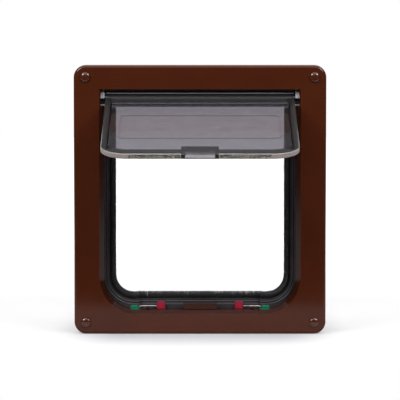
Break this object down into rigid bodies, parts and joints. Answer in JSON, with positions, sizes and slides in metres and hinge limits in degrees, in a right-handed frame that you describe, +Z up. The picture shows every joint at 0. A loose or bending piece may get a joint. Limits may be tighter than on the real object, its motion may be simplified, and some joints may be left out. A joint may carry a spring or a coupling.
{
  "type": "cat flap",
  "caption": "Manual cat flap for a house door: brown framed tunnel, smoked clear flap on a top hinge, draught brush, closing magnets and sliding lock tabs; shown with the flap raised.",
  "frame": {"origin": "middle of the inner frame's door side, in the face that lies on the door", "axes": "+X to the right as seen from the room, +Y through the door away from the room, +Z up"},
  "size_m": [0.27, 0.2633, 0.289],
  "materials": {
    "brown_plastic": "gloss",
    "smoked_flap": "gloss",
    "light_grey_plastic": "gloss",
    "dark_grey_plastic": "satin",
    "black_bristle": "matte",
    "grey_pile": "matte",
    "steel": "satin",
    "magnet": "satin",
    "green_plastic": "gloss",
    "red_plastic": "gloss"
  },
  "bodies": {
    "frame": {"inner_frame": "brown_plastic", "outer_frame": "brown_plastic", "hinge_bearing_left": "light_grey_plastic", "hinge_bearing_right": "light_grey_plastic", "brush_holder_left": "dark_grey_plastic", "brush_holder_right": "dark_grey_plastic", "brush_holder_centre": "dark_grey_plastic", "brush_pile_left": "black_bristle", "brush_pile_right": "black_bristle", "brush_pile_centre": "black_bristle", "lock_spring_left": "steel", "lock_spring_right": "steel", "sill_magnet": "magnet", "sill_magnet_cover": "brown_plastic", "fixing_screws": "steel", "screw_caps": "brown_plastic"},
    "flap": {"flap_panel": "smoked_flap", "hinge_rod": "steel", "flap_magnet": "magnet", "magnet_plug": "light_grey_plastic", "pile_strip_left": "grey_pile", "pile_strip_right": "grey_pile"},
    "green_tab_left": {"green_tab_left": "green_plastic"},
    "green_tab_right": {"green_tab_right": "green_plastic"},
    "red_tab_left": {"red_tab_left": "red_plastic"},
    "red_tab_right": {"red_tab_right": "red_plastic"}
  },
  "joints": [
    {"name": "flap_swing", "type": "hinge", "parent": "frame", "child": "flap", "pos_m": [0, 0, 0.1074], "axis": [1, 0, 0], "range_deg": [-10, 160], "deforming": ["brush_pile_left", "brush_pile_right", "brush_pile_centre"]},
    {"name": "green_tab_left_lift", "type": "slide", "parent": "frame", "child": "green_tab_left", "axis": [0, 0, 1], "range_m": [0, 0.008]},
    {"name": "green_tab_right_lift", "type": "slide", "parent": "frame", "child": "green_tab_right", "axis": [0, 0, 1], "range_m": [0, 0.008]},
    {"name": "red_tab_left_lift", "type": "slide", "parent": "frame", "child": "red_tab_left", "axis": [0, 0, 1], "range_m": [0, 0.005]},
    {"name": "red_tab_right_lift", "type": "slide", "parent": "frame", "child": "red_tab_right", "axis": [0, 0, 1], "range_m": [0, 0.005]}
  ]
}
